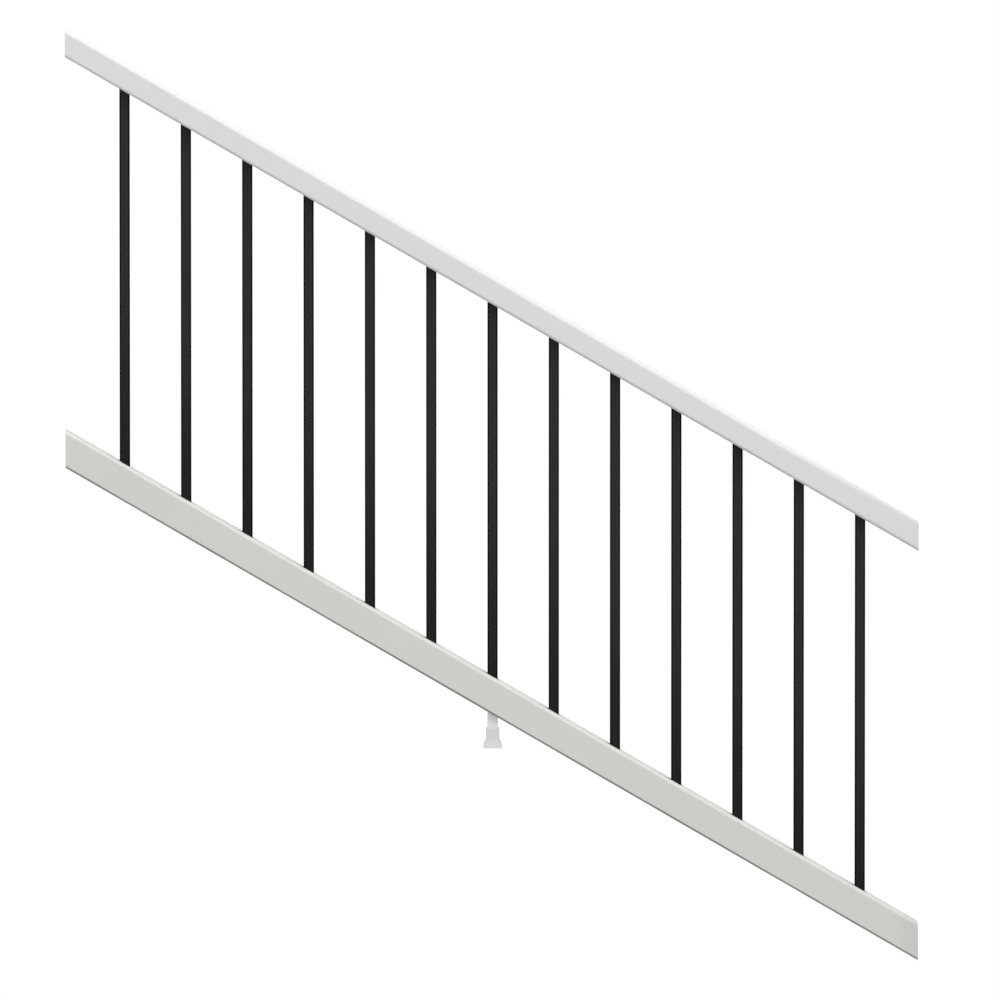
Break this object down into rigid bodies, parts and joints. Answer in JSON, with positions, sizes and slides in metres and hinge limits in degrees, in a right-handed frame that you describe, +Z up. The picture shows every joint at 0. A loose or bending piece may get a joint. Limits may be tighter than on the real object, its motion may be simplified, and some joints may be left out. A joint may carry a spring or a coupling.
{
  "type": "raked deck stair railing section",
  "caption": "Raked railing section for deck stairs: white hollow top and bottom rails cut plumb, black square balusters between them and a small support foot under the bottom rail.",
  "frame": {"origin": "low plumb end of the bottom rail, at mid depth on its lower edge, where it meets the lower post", "axes": "+Z up, +X level along the section and down the stair, -Y the front that the picture shows"},
  "size_m": [1.5822, 0.07, 1.7319],
  "materials": {
    "top_rail_vinyl": "satin white",
    "bottom_rail_vinyl": "satin white",
    "baluster_black": "fine black powder coat",
    "stiffener_metal": "mill finish",
    "foot_plastic": "satin white"
  },
  "bodies": {
    "root": {"top_rail": "top_rail_vinyl", "top_rail_stiffener": "stiffener_metal", "bottom_rail": "bottom_rail_vinyl", "bottom_rail_stiffener": "stiffener_metal", "baluster_01": "baluster_black", "baluster_02": "baluster_black", "baluster_03": "baluster_black", "baluster_04": "baluster_black", "baluster_05": "baluster_black", "baluster_06": "baluster_black", "baluster_07": "baluster_black", "baluster_08": "baluster_black", "baluster_09": "baluster_black", "baluster_10": "baluster_black", "baluster_11": "baluster_black", "baluster_12": "baluster_black", "baluster_13": "baluster_black", "foot_stem": "foot_plastic", "foot_base": "foot_plastic"}
  },
  "joints": []
}
